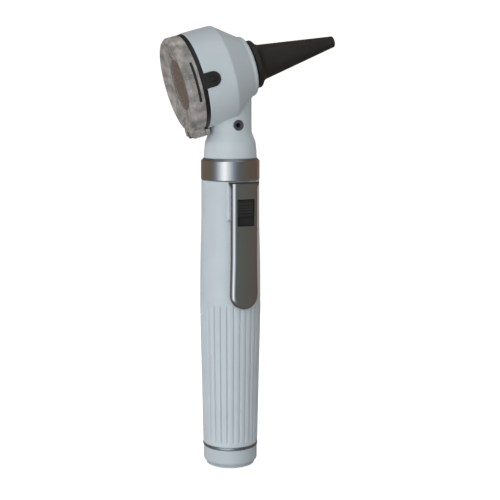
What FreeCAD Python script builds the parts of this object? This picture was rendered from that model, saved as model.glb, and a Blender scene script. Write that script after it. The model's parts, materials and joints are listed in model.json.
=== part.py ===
"""Pocket otoscope: battery handle with clip and slide switch, tilted head, swivel magnifier, ear speculum.

Units are millimetres. The origin is the centre of the bottom face. +Z runs up the handle's axis,
and the speculum points towards +X and slightly upwards. Every piece is one node in parts/.
Pieces of the handle are turned about Z. Pieces of the head are turned about their own Z and then
laid on the head's axis by on_head(), where local x is up, local y is -Y and local z is the axis.
Pieces at the clip are drawn facing -Y, with tangential x and radial -y, and turned by at_clip().
"""
import FreeCAD, Part
import math
import os

App = FreeCAD
Vec = App.Vector

# Driving dimensions ---------------------------------------------------------------------------
CELL_R = 7.25                # AA cell, 14.5 mm across
CELL_LENGTH = 50.5           # AA cell with its positive nub
GAP = 0.05                   # clearance between pieces that touch or run on each other

CAP_R = 10.5                 # bottom cap
CAP_TOP = 7.25
CAP_FLOOR = 2.2
CAP_CORNER = 1.8             # rounding round the bottom edge
BAND_R = 10.75               # flange of the inner tube that shows as a thin line above the cap
BAND_TOP = 8.4
TUBE_IN_R = 7.75
TUBE_OUT_R = 8.5
CELLS_BASE = 5.6             # underside of the lower cell

GRIP_BASE = BAND_TOP + GAP
GRIP_TOP = 111.65
GRIP_PROFILE = [              # outside of the grip, as (radius, height)
    (10.62, GRIP_BASE), (11.08, 32.8), (11.62, 60.8), (11.52, 80.5), (11.15, 95.0), (11.05, GRIP_TOP)]
FLUTES = 28
FLUTE_START = 2.92           # degrees by which the flutes are turned about the handle
FLUTE_BASE = 10.0
FLUTE_TOP = 65.0
FLUTE_BASE_R = 10.66         # grip's radius where the flutes start and end
FLUTE_TOP_R = 11.66
FLUTE_DEPTH = 0.45
FLUTE_HALF_WIDTH = 0.95

RING_BASE = 111.7            # chromed collar between handle and head
RING_TOP = 120.0
RING_R = 11.2
RING_TOP_CHAMFER = 1.0
RING_LOW_CHAMFER = 0.6
RING_THREAD_R = 7.0          # head's thread, drawn as a plain bore
SKIRT_R = TUBE_IN_R - GAP    # collar's skirt inside the battery tube
SKIRT_IN_R = SKIRT_R - 1.1
SKIRT_BASE = 108.0

NECK_BASE = RING_TOP + 0.4
NECK_BASE_R = 10.1
NECK_R = 8.0
NECK_START = 130.3
NECK_SHOULDER = [            # curve from the neck's base in to its straight part, as (radius, height)
    (NECK_BASE_R, NECK_BASE), (9.95, 123.0), (9.6, 126.0), (8.75, 128.4), (NECK_R + 0.1, NECK_START)]

HEAD_TILT = 15.5             # degrees that the viewing axis rises above horizontal
HEAD_ORIGIN = Vec(-14.45, 0, 148.67)   # where the viewing axis leaves the back of the barrel
BARREL_R = 18.2
BARREL_LENGTH = 11.3
BARREL_BORE_R = 16.0
NOSE_R = 11.45               # rounded collar at the end of the cone
NOSE_START = 20.0
NOSE_END = 22.2
NOSE_BORE_R = 9.45

BEZEL_R = 17.95              # black ring behind the barrel
BEZEL_THICKNESS = 1.45
SLEEVE_IN_R = 15.1
SLEEVE_END = 9.8
EAR_HALF_HEIGHT = 2.75
EAR_LENGTH = 5.7
EAR_R = 18.6                 # outside of the two ears
EAR_POCKET_R = 17.6          # floor of the pockets that hold the ears

WINDOW_FRONT = -7.2          # outermost face of the clear window, along the head's axis
WINDOW_BACK = -1.6
WINDOW_R = 17.9
LENS_R = 9.6
GROOVE_S = (-3.55, -2.95)    # finger grooves in both sides of the window's rim
GROOVE_HALF = 6.9
GROOVE_DEPTH = 0.7
LUG_HALF_WIDTH = 4.2
LUG_BOTTOM = -20.4           # below the viewing axis
PIVOT_V = -18.75             # pivot pin, below the viewing axis
PIVOT_R = 1.0
PIVOT_END = 4.5              # the pivot screw's end inside the neck, along the head's axis
PIVOT_BLOCK_END = 0.3        # front of the fixed block that carries the screw
PIVOT_HEAD_R = 1.5
WASHER_R = 1.6

FLANGE_BASE = 23.1           # speculum, along the head's axis
FLANGE_END = 25.1
FLANGE_R = 9.1
CONE_START = 27.7
CONE_START_R = 6.68
TIP_S = 57.9
TIP_R = 2.1

CLIP_AZIMUTH = 9.2           # degrees from -Y towards +X
CLIP_HALF_WIDTH = 5.5
CLIP_FACE_D = 13.75          # distance of the clip's face from the handle's axis
CLIP_CROWN = 0.2             # the face is this much lower where its rolled edges start
CLIP_CORNER = 1.9            # radius of the rolled edges
CLIP_SKIRT_D = 11.5
CLIP_SHEET = 0.9
CLIP_TOP = 111.0
CLIP_WALL_TOP = 109.4        # the side walls stop here, below the bracket's wings
CLIP_END = 62.8
CLIP_REST_R = 11.76           # the foot's edge stays clear of the grip by this radius
CLIP_FOOT_FLARE = 0.3        # the rounded lower end is this much wider on each side
CLIP_PIVOT_Z = 109.8         # the clip rocks on a small rib on its inner face, seated in the bracket
CLIP_PIVOT_R = 0.45
OPENING_Z = (95.1, 105.2)    # switch opening in the clip
OPENING_HALF = 3.55
BOSS_HALF_WIDTH = 6.7        # raised pad of the grip under the clip
BOSS_D = 11.4
BOSS_BASE = 96.8
SWITCH_TRAVEL = 3.4
SLIDER_D = 12.4              # outer face of the slider's base plate
SLIDER_FOOT_HALF = 1.5
SLIDER_FOOT_Z = (97.2, 103.7)
STRIP_X = (1.85, 3.05)       # contact strip beside the foot
STRIP_D = (8.65, 9.05)
STRIP_BASE = 93.0
TONGUE_HALF = 3.8            # bracket's tongue behind the clip
TONGUE_D = 12.5
TONGUE_Z = (107.0, 110.4)
WING_Z = (109.6, 111.6)      # bracket's wings between collar and clip
WING_D = 12.5
RIVET_X = 2.3
RIVET_Z = 108.4
RIVET_R = 0.7

PORT_AZIMUTH = 6.3
PORT_Z = 132.5
PORT_R = 2.05
PORT_BORE_R = 0.95

Z_AXIS = Vec(0, 0, 1)


# Building blocks ------------------------------------------------------------------------------
def cyl(radius, low, high, x=0.0, y=0.0):
    return Part.makeCylinder(radius, high - low, Vec(x, y, low), Z_AXIS)


def tube(outer, inner, low, high):
    return cyl(outer, low, high).cut(cyl(inner, low - 1, high + 1))


def block(x0, x1, y0, y1, z0, z1):
    return Part.makeBox(x1 - x0, y1 - y0, z1 - z0, Vec(x0, y0, z0))


def turned(points):
    """A solid turned about Z from a closed outline of (radius, height) points."""
    corners = [Vec(r, 0, z) for r, z in points]
    wire = Part.makePolygon(corners + corners[:1])
    return Part.Face(wire).revolve(Vec(0, 0, 0), Z_AXIS, 360)


def turned_smooth(outer, bore):
    """A tube turned about Z whose outside is a smooth curve through the (radius, height) points."""
    curve = Part.BSplineCurve()
    curve.interpolate([Vec(r, 0, z) for r, z in outer])
    (r0, z0), (r1, z1) = outer[0], outer[-1]
    path = [Vec(r1, 0, z1), Vec(bore, 0, z1), Vec(bore, 0, z0), Vec(r0, 0, z0)]
    edges = [curve.toShape()] + [Part.makeLine(a, b) for a, b in zip(path, path[1:])]
    return Part.Face(Part.Wire(edges)).revolve(Vec(0, 0, 0), Z_AXIS, 360)


def prism(outline, start, along):
    """A solid pushed along a vector from a closed outline of points offset by start."""
    corners = [start + p for p in outline]
    wire = Part.makePolygon(corners + corners[:1])
    return Part.Face(wire).extrude(along)


def spun(shape, degrees):
    copy = shape.copy()
    copy.rotate(Vec(0, 0, 0), Z_AXIS, degrees)
    return copy


def on_head(shape):
    tilt = math.radians(HEAD_TILT)
    up = Vec(-math.sin(tilt), 0, math.cos(tilt))
    along = Vec(math.cos(tilt), 0, math.sin(tilt))
    head_frame = App.Placement(HEAD_ORIGIN, App.Rotation(up, Vec(0, -1, 0), along, "ZXY"))
    copy = shape.copy()
    copy.Placement = head_frame.multiply(copy.Placement)
    return copy


def at_clip(shape):
    return spun(shape, CLIP_AZIMUTH)


def spring(radius, wire_radius, low, high, turns):
    """A round-wire compression spring standing on Z."""
    height = high - low - 2 * wire_radius
    helix = Part.makeHelix(height / turns, height, radius)
    profile = Part.Wire(Part.makeCircle(wire_radius, Vec(radius, 0, 0), Vec(0, 1, 0)))
    coil = Part.Wire(helix).makePipeShell([profile], True, True)
    coil.translate(Vec(0, 0, low + wire_radius))
    return coil


def one(shape):
    """The single solid of a boolean result, cleaned of leftover seams."""
    solids = shape.removeSplitter().Solids
    if len(solids) != 1:
        raise ValueError("expected one solid, found %d" % len(solids))
    return solids[0]


def save(name, shape):
    if not shape.isValid():
        raise ValueError(name + " is not valid")
    shape.exportStep("parts/" + name + ".step")
    print("%-20s %9.1f mm3" % (name, shape.Volume))


# Handle ---------------------------------------------------------------------------------------
def flute_cutters():
    """Long V grooves that follow the grip's widening from its foot to its middle."""
    lift = Vec(FLUTE_TOP_R - FLUTE_BASE_R, 0, FLUTE_TOP - FLUTE_BASE)
    mouth = 0.4
    outline = [Vec(-FLUTE_DEPTH, 0, 0), Vec(mouth, FLUTE_HALF_WIDTH, 0), Vec(mouth, -FLUTE_HALF_WIDTH, 0)]
    groove = prism(outline, Vec(FLUTE_BASE_R, 0, FLUTE_BASE), lift)
    step = 360.0 / FLUTES
    return Part.makeCompound([spun(groove, FLUTE_START + step * i) for i in range(FLUTES)])


def grip_shell():
    bore = TUBE_OUT_R + GAP
    body = turned_smooth(GRIP_PROFILE, bore).cut(flute_cutters())
    pad = block(-BOSS_HALF_WIDTH, BOSS_HALF_WIDTH, -BOSS_D, -9.0, BOSS_BASE, GRIP_TOP)
    ramp = prism([Vec(0, -BOSS_D - 1, 0), Vec(0, -BOSS_D + 0.7, 0), Vec(0, -BOSS_D - 1, 2.4)],
                 Vec(-BOSS_HALF_WIDTH - 1, 0, BOSS_BASE - 0.01), Vec(2 * BOSS_HALF_WIDTH + 2, 0, 0))
    body = body.fuse(at_clip(pad.cut(ramp)))
    room = 0.2
    foot_slot = block(-SLIDER_FOOT_HALF - room, SLIDER_FOOT_HALF + room, -BOSS_D - 1, -bore + 0.6,
                      SLIDER_FOOT_Z[0] - SWITCH_TRAVEL - room, SLIDER_FOOT_Z[1] + room)
    strip_slot = block(STRIP_X[0] - 0.1, STRIP_X[1] + 0.1, -STRIP_D[1] - 0.1, -bore + 0.9,
                       STRIP_BASE - room, GRIP_TOP + 1)
    for cutter in (foot_slot, strip_slot):
        body = body.cut(at_clip(cutter))
    return one(body)


def inner_tube():
    sleeve = tube(TUBE_OUT_R, TUBE_IN_R, 3.0, GRIP_TOP)
    return one(sleeve.fuse(tube(BAND_R, TUBE_IN_R, CAP_TOP + 0.1, BAND_TOP)))


def collar_ring():
    return turned([
        (RING_THREAD_R, RING_TOP), (RING_R - RING_TOP_CHAMFER, RING_TOP),
        (RING_R, RING_TOP - RING_TOP_CHAMFER), (RING_R, RING_BASE + RING_LOW_CHAMFER),
        (RING_R - RING_LOW_CHAMFER, RING_BASE), (SKIRT_R, RING_BASE), (SKIRT_R, SKIRT_BASE),
        (SKIRT_IN_R, SKIRT_BASE), (SKIRT_IN_R, 113.2), (RING_THREAD_R, 113.6)])


def cell(low):
    """An AA cell: can, rounded shoulder and positive nub."""
    top = low + CELL_LENGTH
    nub_r, nub_height = 2.75, 1.2
    can_top = top - nub_height
    return turned([(0, low), (CELL_R - 0.5, low), (CELL_R, low + 0.5), (CELL_R, can_top - 0.6),
                   (CELL_R - 0.6, can_top), (nub_r, can_top), (nub_r, top), (0, top)])


CARRIER_BASE = CELLS_BASE + 2 * CELL_LENGTH + 0.4
CARRIER_TOP = 114.2
CHAMBER = (109.2, 113.6)     # spring chamber in the contact carrier
CHAMBER_R = 2.0
STEM_R = 1.1
CONTACT_R = 2.2
PIN_BASE = 112.1             # underside of the contact pin's collar
PIN_SHOULDER = 112.8
PIN_TOP = 115.55


def contact_carrier():
    waist = SKIRT_IN_R - GAP
    outer = turned([(0, CARRIER_BASE), (TUBE_IN_R - 0.1, CARRIER_BASE), (TUBE_IN_R - 0.1, SKIRT_BASE - 0.1),
                    (waist, SKIRT_BASE - 0.05), (waist, CARRIER_TOP), (0, CARRIER_TOP)])
    rivet_hole = cyl(CONTACT_R + 0.05, CARRIER_BASE - 1, CHAMBER[0])
    chamber = cyl(CHAMBER_R, CHAMBER[0] - 0.1, CHAMBER[1])
    stem_hole = cyl(STEM_R + 0.06, CHAMBER[1] - 0.1, CARRIER_TOP + 1)
    return one(outer.cut(rivet_hole).cut(chamber).cut(stem_hole))


def battery_contact():
    low = CELLS_BASE + 2 * CELL_LENGTH + 0.05
    top = CHAMBER[0] - 0.1
    return turned([(0, low), (CONTACT_R - 0.5, low), (CONTACT_R, low + 0.4), (CONTACT_R, top), (0, top)])


def contact_pin():
    collar_r = CHAMBER_R - 0.08
    return turned([(0, PIN_BASE), (collar_r, PIN_BASE), (collar_r, PIN_SHOULDER), (STEM_R, PIN_SHOULDER),
                   (STEM_R, PIN_TOP - 0.35), (STEM_R - 0.4, PIN_TOP), (0, PIN_TOP)])


def contact_spring():
    return spring(1.5, 0.26, CHAMBER[0] + 0.02, PIN_BASE - GAP, 3)


def contact_strip():
    return at_clip(block(*STRIP_X, -STRIP_D[1], -STRIP_D[0], STRIP_BASE, GRIP_TOP))


def clip_rocker(radius, half_length):
    """Round bar along the clip's hinge axis."""
    start = Vec(-half_length, CLIP_SHEET - CLIP_FACE_D, CLIP_PIVOT_Z)
    return Part.makeCylinder(radius, 2 * half_length, start, Vec(1, 0, 0))


def clip_bracket():
    """Metal yoke under the collar that the clip springs from."""
    low_d = BOSS_D + GAP
    tongue = block(-TONGUE_HALF, TONGUE_HALF, -TONGUE_D, -low_d, *TONGUE_Z)
    wings = prism([Vec(-CLIP_HALF_WIDTH, -low_d, WING_Z[0]), Vec(-BOSS_HALF_WIDTH, -low_d, WING_Z[1]),
                   Vec(BOSS_HALF_WIDTH, -low_d, WING_Z[1]), Vec(CLIP_HALF_WIDTH, -low_d, WING_Z[0])],
                  Vec(0, 0, 0), Vec(0, low_d - WING_D, 0))
    body = tongue.fuse(wings).cut(clip_rocker(CLIP_PIVOT_R + GAP, TONGUE_HALF + 1))
    for side in (-1, 1):
        start = Vec(RIVET_X * side, -BOSS_D + 0.6, RIVET_Z)
        body = body.cut(Part.makeCylinder(RIVET_R + GAP, 4, start, Vec(0, -1, 0)))
    return at_clip(one(body))


def clip_rivets():
    """Two short rivets that fasten the bracket to the pad's top."""
    pair = []
    for side in (-1, 1):
        foot = Vec(RIVET_X * side, -BOSS_D - GAP, RIVET_Z)
        pair.append(Part.makeCylinder(RIVET_R, TONGUE_D - BOSS_D - 2 * GAP, foot, Vec(0, -1, 0)))
    return at_clip(Part.makeCompound(pair))


def clip_profile(half, face_d, corner):
    """Right half of the clip's section as (distance from its middle, distance from the handle's axis)."""
    edge_d = face_d - CLIP_CROWN - corner
    steps = 6
    rolled = []
    for i in range(steps + 1):
        a = math.radians(90.0 * i / steps)
        rolled.append((half - corner + corner * math.cos(a), edge_d + corner * math.sin(a)))
    middle = half - corner
    return rolled + [(middle * 0.5, face_d - CLIP_CROWN * 0.25), (0, face_d)]


def clip_solid(half, face_d, corner, low_d, top):
    """Bar of the clip's section with its lower end turned about the middle of its foot."""
    side = [(half, low_d)] + clip_profile(half, face_d, corner)
    outline = [Vec(x, -d, 0) for x, d in side] + [Vec(-x, -d, 0) for x, d in reversed(side[:-1])]
    end_centre = CLIP_END + CLIP_HALF_WIDTH + CLIP_FOOT_FLARE
    bar = prism(outline, Vec(0, 0, end_centre), Vec(0, 0, top - end_centre))
    wider = [(x + CLIP_FOOT_FLARE, d) for x, d in side[:-2]] + side[-2:]
    foot = turned([(0, low_d)] + wider)
    foot.rotate(Vec(0, 0, 0), Vec(1, 0, 0), 90)
    foot.translate(Vec(0, 0, end_centre))
    return bar.fuse(foot.cut(block(-9, 9, -20, 20, end_centre, end_centre + 20)))


def pocket_clip():
    """Pressed metal channel with rolled edges, a rounded lower end, a switch opening and a dimpled foot."""
    inner_half = CLIP_HALF_WIDTH - CLIP_SHEET
    outer = clip_solid(CLIP_HALF_WIDTH, CLIP_FACE_D, CLIP_CORNER, CLIP_SKIRT_D, CLIP_TOP)
    hollow = clip_solid(inner_half, CLIP_FACE_D - CLIP_SHEET, CLIP_CORNER - CLIP_SHEET, 0, CLIP_TOP + 1)
    opening = block(-OPENING_HALF, OPENING_HALF, -20, 0, *OPENING_Z)
    wing_room = block(-9, 9, -WING_D - 0.2, 0, CLIP_WALL_TOP, CLIP_TOP + 1)
    dimple_z = CLIP_END + CLIP_HALF_WIDTH + 1.3
    dimple = Part.makeCone(1.6, 2.4, 1.05, Vec(0, -11.85, dimple_z), Vec(0, -1, 0))
    grip_room = cyl(CLIP_REST_R, CLIP_END - 1, dimple_z)
    body = outer.cut(hollow).cut(opening).cut(wing_room).cut(grip_room).fuse(dimple)
    return at_clip(one(body.fuse(clip_rocker(CLIP_PIVOT_R, TONGUE_HALF - 0.2))))


def switch_slider():
    """Thumb slide: a base plate behind the clip, a ribbed knob through its opening, and a foot."""
    under = BOSS_D + GAP
    plate = block(-3.9, 3.9, -SLIDER_D, -under, OPENING_Z[0] - 0.4, OPENING_Z[1] + 0.9)
    knob_half = OPENING_HALF - 0.2
    knob_low = OPENING_Z[0] + SWITCH_TRAVEL + 0.2
    knob_d = CLIP_FACE_D - 0.2
    knob = block(-knob_half, knob_half, -knob_d, -SLIDER_D + 0.1, knob_low, OPENING_Z[1] - 0.3)
    body = plate.fuse(knob)
    for i in range(4):
        height = knob_low + 1.0 + 1.25 * i
        groove = prism([Vec(0, -knob_d - GAP, -0.3), Vec(0, -knob_d + 0.3, 0), Vec(0, -knob_d - GAP, 0.3)],
                       Vec(-5, 0, height), Vec(10, 0, 0))
        body = body.cut(groove)
    foot = block(-SLIDER_FOOT_HALF, SLIDER_FOOT_HALF, -under - 0.1, -9.3, *SLIDER_FOOT_Z)
    return at_clip(one(body.fuse(foot)))


def switch_blade():
    """Sprung brass wiper under the slider's foot."""
    flat = block(-1.3, 1.3, -9.25, -8.95, 97.4, 103.5)
    bow = block(-1.3, 1.3, -9.0, -8.62, 99.4, 101.4)
    return at_clip(one(flat.fuse(bow)))


# Bottom cap -----------------------------------------------------------------------------------
SEAL_BASE = 6.85


def bottom_cap():
    steps = 6
    corner = []
    for i in range(steps + 1):
        a = math.radians(90.0 * i / steps)
        corner.append((CAP_R - CAP_CORNER * (1 - math.sin(a)), CAP_CORNER * (1 - math.cos(a))))
    thread_r = TUBE_OUT_R + GAP
    return turned([(0, 0)] + corner + [
        (CAP_R, CAP_TOP - 0.3), (CAP_R - 0.3, CAP_TOP), (9.95, CAP_TOP), (9.95, SEAL_BASE - 0.03),
        (thread_r, SEAL_BASE - 0.03), (thread_r, CAP_FLOOR), (0, CAP_FLOOR)])


def cap_seal():
    return tube(9.9, TUBE_OUT_R + GAP, SEAL_BASE, CAP_TOP + 0.05)


def cap_contact():
    return turned([(0, CAP_FLOOR + 0.02), (6.8, CAP_FLOOR + 0.02), (6.8, CAP_FLOOR + 0.7),
                   (6.3, CAP_FLOOR + 0.7), (6.3, CAP_FLOOR + 0.4), (0, CAP_FLOOR + 0.4)])


def battery_spring():
    return spring(4.2, 0.35, CAP_FLOOR + 0.45, CELLS_BASE - 0.05, 2.5)


# Head -----------------------------------------------------------------------------------------
FERRULE_R = RING_THREAD_R - GAP
FERRULE_BASE = 114.9
FERRULE_TOP = 127.0
FERRULE_BODY_R = 7.3
FERRULE_BORE_R = 5.2
LAMP_BASE_R = 3.0
CHANNEL_R = 4.2              # way for the lamp's light from the neck into the barrel


def barrel_outside():
    """Barrel, cone and rounded nose collar, turned about the viewing axis."""
    collar = [(NOSE_R + 0.85, NOSE_START - 0.7), (NOSE_R + 0.25, NOSE_START + 0.1),
              (NOSE_R, NOSE_START + 0.7), (NOSE_R, NOSE_START + 1.1), (NOSE_R - 0.25, NOSE_START + 1.6),
              (NOSE_R - 0.75, NOSE_END - 0.2), (NOSE_R - 1.45, NOSE_END)]
    return turned([(0, 0), (BARREL_R - 0.25, 0), (BARREL_R, 0.25), (BARREL_R, BARREL_LENGTH - 0.5),
                   (BARREL_R - 0.35, BARREL_LENGTH + 0.4)] + collar + [(0, NOSE_END)])


def barrel_inside():
    return turned([(0, -1), (BARREL_BORE_R, -1), (BARREL_BORE_R, BARREL_LENGTH - 0.6), (NOSE_BORE_R, 19.0),
                   (NOSE_BORE_R, NOSE_END + 1), (0, NOSE_END + 1)])


def neck_outside():
    curve = Part.BSplineCurve()
    curve.interpolate([Vec(r, 0, z) for r, z in NECK_SHOULDER])
    top = 146.0
    path = [Vec(NECK_R + 0.1, 0, NECK_START), Vec(NECK_R, 0, top), Vec(0, 0, top), Vec(0, 0, NECK_BASE),
            Vec(NECK_BASE_R, 0, NECK_BASE)]
    edges = [curve.toShape()] + [Part.makeLine(a, b) for a, b in zip(path, path[1:])]
    return Part.Face(Part.Wire(edges)).revolve(Vec(0, 0, 0), Z_AXIS, 360)


def ear(low_r, side, margin=0.0):
    """One round-ended ear on the side of the barrel, from low_r to EAR_R, in the head's local frame."""
    half = EAR_HALF_HEIGHT + margin
    end = EAR_LENGTH - EAR_HALF_HEIGHT
    base = -BEZEL_THICKNESS if margin == 0 else -0.5
    slab = block(-half, half, 0, 30, base, end)
    tip = Part.makeCylinder(half, 30, Vec(0, 0, end), Vec(0, 1, 0))
    shell = tube(EAR_R, low_r, base - 1, EAR_LENGTH + 1)
    shape = slab.fuse(tip).common(shell)
    if side < 0:
        shape.rotate(Vec(0, 0, 0), Z_AXIS, 180)
    return shape


EAR_PIN_R = 0.95


def ear_pin(side, radius, low, high):
    return Part.makeCylinder(radius, high - low, Vec(0, side * low, EAR_LENGTH - EAR_HALF_HEIGHT),
                             Vec(0, side, 0))


def port_cylinder(radius, low, high):
    across = Part.makeCylinder(radius, high - low, Vec(0, -low, PORT_Z), Vec(0, -1, 0))
    return spun(across, PORT_AZIMUTH)


def head_housing():
    body = on_head(barrel_outside()).fuse(neck_outside())
    body = body.cut(on_head(barrel_inside()))
    body = body.cut(cyl(FERRULE_BODY_R + 0.02, NECK_BASE - 1, FERRULE_TOP + 0.02))
    body = body.cut(cyl(9.0, NECK_BASE - 1, NECK_BASE + 1.02))
    body = body.cut(cyl(FERRULE_BORE_R + 0.1, FERRULE_TOP - 1, 129.6))
    body = body.cut(cyl(CHANNEL_R, 129.0, 147.0))
    for side in (-1, 1):
        body = body.cut(on_head(ear(EAR_POCKET_R - 0.03, side, 0.05)))
        body = body.cut(on_head(ear_pin(side, EAR_PIN_R + 0.01, BARREL_BORE_R - 1, EAR_R + 1)))
    body = body.cut(port_cylinder(PORT_R + 0.01, 2.0, 12.0))
    body = body.cut(on_head(cyl(PIVOT_R + 0.01, -8, PIVOT_END + GAP, PIVOT_V)))
    body = body.cut(on_head(pivot_block_outside(0.03)))
    return one(body)


def pivot_block_outside(margin=0.0):
    """Fixed block under the bezel that carries the window's pivot, in the head's local frame."""
    return block(LUG_BOTTOM - margin, -BEZEL_R - 0.05 + margin, -LUG_HALF_WIDTH - margin,
                 LUG_HALF_WIDTH + margin, -BEZEL_THICKNESS + 0.05, PIVOT_BLOCK_END + margin)


def pivot_block():
    drilled = pivot_block_outside().cut(cyl(PIVOT_R + 0.01, -8, 8, PIVOT_V))
    return one(on_head(drilled).cut(cyl(NECK_R - 1.2, 120, 140)))


def pivot_screw():
    """Shoulder screw along the viewing axis, with a low round head recessed in the window's lug."""
    shank = cyl(PIVOT_R, WINDOW_FRONT + 0.7, PIVOT_END, PIVOT_V)
    head = cyl(PIVOT_HEAD_R, WINDOW_FRONT + 0.1, WINDOW_FRONT + 0.9, PIVOT_V)
    slot = block(PIVOT_V - 2, PIVOT_V + 2, -0.2, 0.2, WINDOW_FRONT, WINDOW_FRONT + 0.4)
    return on_head(one(shank.fuse(head).cut(slot)))


def friction_washer():
    ring = cyl(WASHER_R, WINDOW_BACK - 0.15, WINDOW_BACK + 0.14, PIVOT_V)
    return on_head(ring.cut(cyl(PIVOT_R + 0.02, -5, 5, PIVOT_V)))


def retaining_ring():
    """Black bezel with a sleeve that lines the barrel and two ears that clip over its sides."""
    body = tube(BEZEL_R, SLEEVE_IN_R, -BEZEL_THICKNESS, 0)
    body = body.fuse(tube(BARREL_BORE_R - 0.03, SLEEVE_IN_R, -0.1, SLEEVE_END))
    for side in (-1, 1):
        body = body.fuse(ear(EAR_POCKET_R, side))
        body = body.cut(ear_pin(side, EAR_PIN_R + 0.01, EAR_POCKET_R - 0.5, EAR_R + 1))
    barrel_wall = tube(BARREL_BORE_R + 1, BARREL_BORE_R - 0.03, 0.01, SLEEVE_END + 0.1)
    body = body.cut(barrel_wall).cut(cyl(PIVOT_R + 0.04, -5, 5, PIVOT_V))
    return one(on_head(body).cut(cyl(CHANNEL_R, 129.0, 142.5)))


def ring_pins():
    """The two small pins through the ears."""
    pins = [ear_pin(side, EAR_PIN_R, BARREL_BORE_R + GAP, EAR_R + GAP) for side in (-1, 1)]
    return on_head(Part.makeCompound(pins))


def nose_insert():
    """Black speculum carrier: a funnel behind the nose and a tapered spigot in front of it."""
    funnel = turned([(SLEEVE_IN_R, 10.4), (BARREL_BORE_R - 0.55, 10.9), (NOSE_BORE_R - 0.03, 18.9),
                     (NOSE_BORE_R - 0.03, NOSE_END - 0.1), (8.7, NOSE_END), (8.7, FLANGE_BASE - 0.12),
                     (6.6, FLANGE_BASE - 0.1), (4.85, 31.5), (3.9, 31.5), (5.5, FLANGE_BASE - 1.2),
                     (8.2, 18.4), (14.4, 10.4)])
    body = on_head(funnel)
    return one(body.cut(cyl(CHANNEL_R, 129.0, 142.5)))


def speculum():
    """Ear funnel: flange, shoulder and long tapered tube with a rolled tip."""
    slope = (CONE_START_R - TIP_R) / (TIP_S - CONE_START)
    lip = 0.35
    return on_head(turned([
        (6.75, FLANGE_BASE), (FLANGE_R - 0.3, FLANGE_BASE), (FLANGE_R, FLANGE_BASE + 0.3),
        (FLANGE_R, FLANGE_END - 0.25), (FLANGE_R - 0.25, FLANGE_END), (7.6, 26.15), (7.0, 26.95),
        (CONE_START_R, CONE_START), (TIP_R + slope, TIP_S - 1.0), (TIP_R + 0.08, TIP_S - lip),
        (TIP_R - 0.12, TIP_S), (TIP_R - 0.42, TIP_S), (TIP_R - 0.6, TIP_S - lip), (4.95, 32.0)]))


def head_ferrule():
    """Threaded metal insert that joins the head to the collar."""
    return turned([(FERRULE_BORE_R, FERRULE_BASE), (FERRULE_R - 0.4, FERRULE_BASE),
                   (FERRULE_R, FERRULE_BASE + 0.4), (FERRULE_R, RING_TOP + 0.45), (8.95, RING_TOP + 0.45),
                   (8.95, NECK_BASE + 1.0), (FERRULE_BODY_R, NECK_BASE + 1.0), (FERRULE_BODY_R, FERRULE_TOP),
                   (FERRULE_BORE_R, FERRULE_TOP)])


def head_seal():
    """Rubber ring between collar and head."""
    return tube(9.4, 7.3, RING_TOP + 0.02, RING_TOP + 0.38)


def lamp_holder():
    return tube(FERRULE_BORE_R - 0.02, LAMP_BASE_R + GAP, 116.6, 129.4)


def lamp_base():
    return turned([(0, 116.9), (1.9, 116.9), (LAMP_BASE_R, 118.0), (LAMP_BASE_R, 129.8), (2.4, 130.4),
                   (0, 130.4)])


def lamp_contact():
    return turned([(0, 115.6), (0.9, 115.6), (1.3, 115.9), (1.3, 116.85), (0, 116.85)])


def lamp_envelope():
    """Glass bulb with a domed lens at its top."""
    radius = 2.3
    centre = 138.4
    dome = [(radius * math.cos(math.radians(a)), centre + radius * math.sin(math.radians(a)))
            for a in (0, 15, 30, 45, 60, 75)]
    return turned([(0, 130.45), (radius, 130.45)] + dome + [(0, centre + radius)])


def insufflation_port():
    """Socket for the air bulb's tube, set into the side of the neck."""
    body = port_cylinder(PORT_R, 4.4, NECK_R + 0.2)
    lip = port_cylinder(1.25, NECK_R - 1, NECK_R + 2)
    rim_groove = port_cylinder(1.6, NECK_R - 0.25, NECK_R + 1).cut(lip)
    return one(body.cut(port_cylinder(PORT_BORE_R, 3, 12)).cut(rim_groove))


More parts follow.
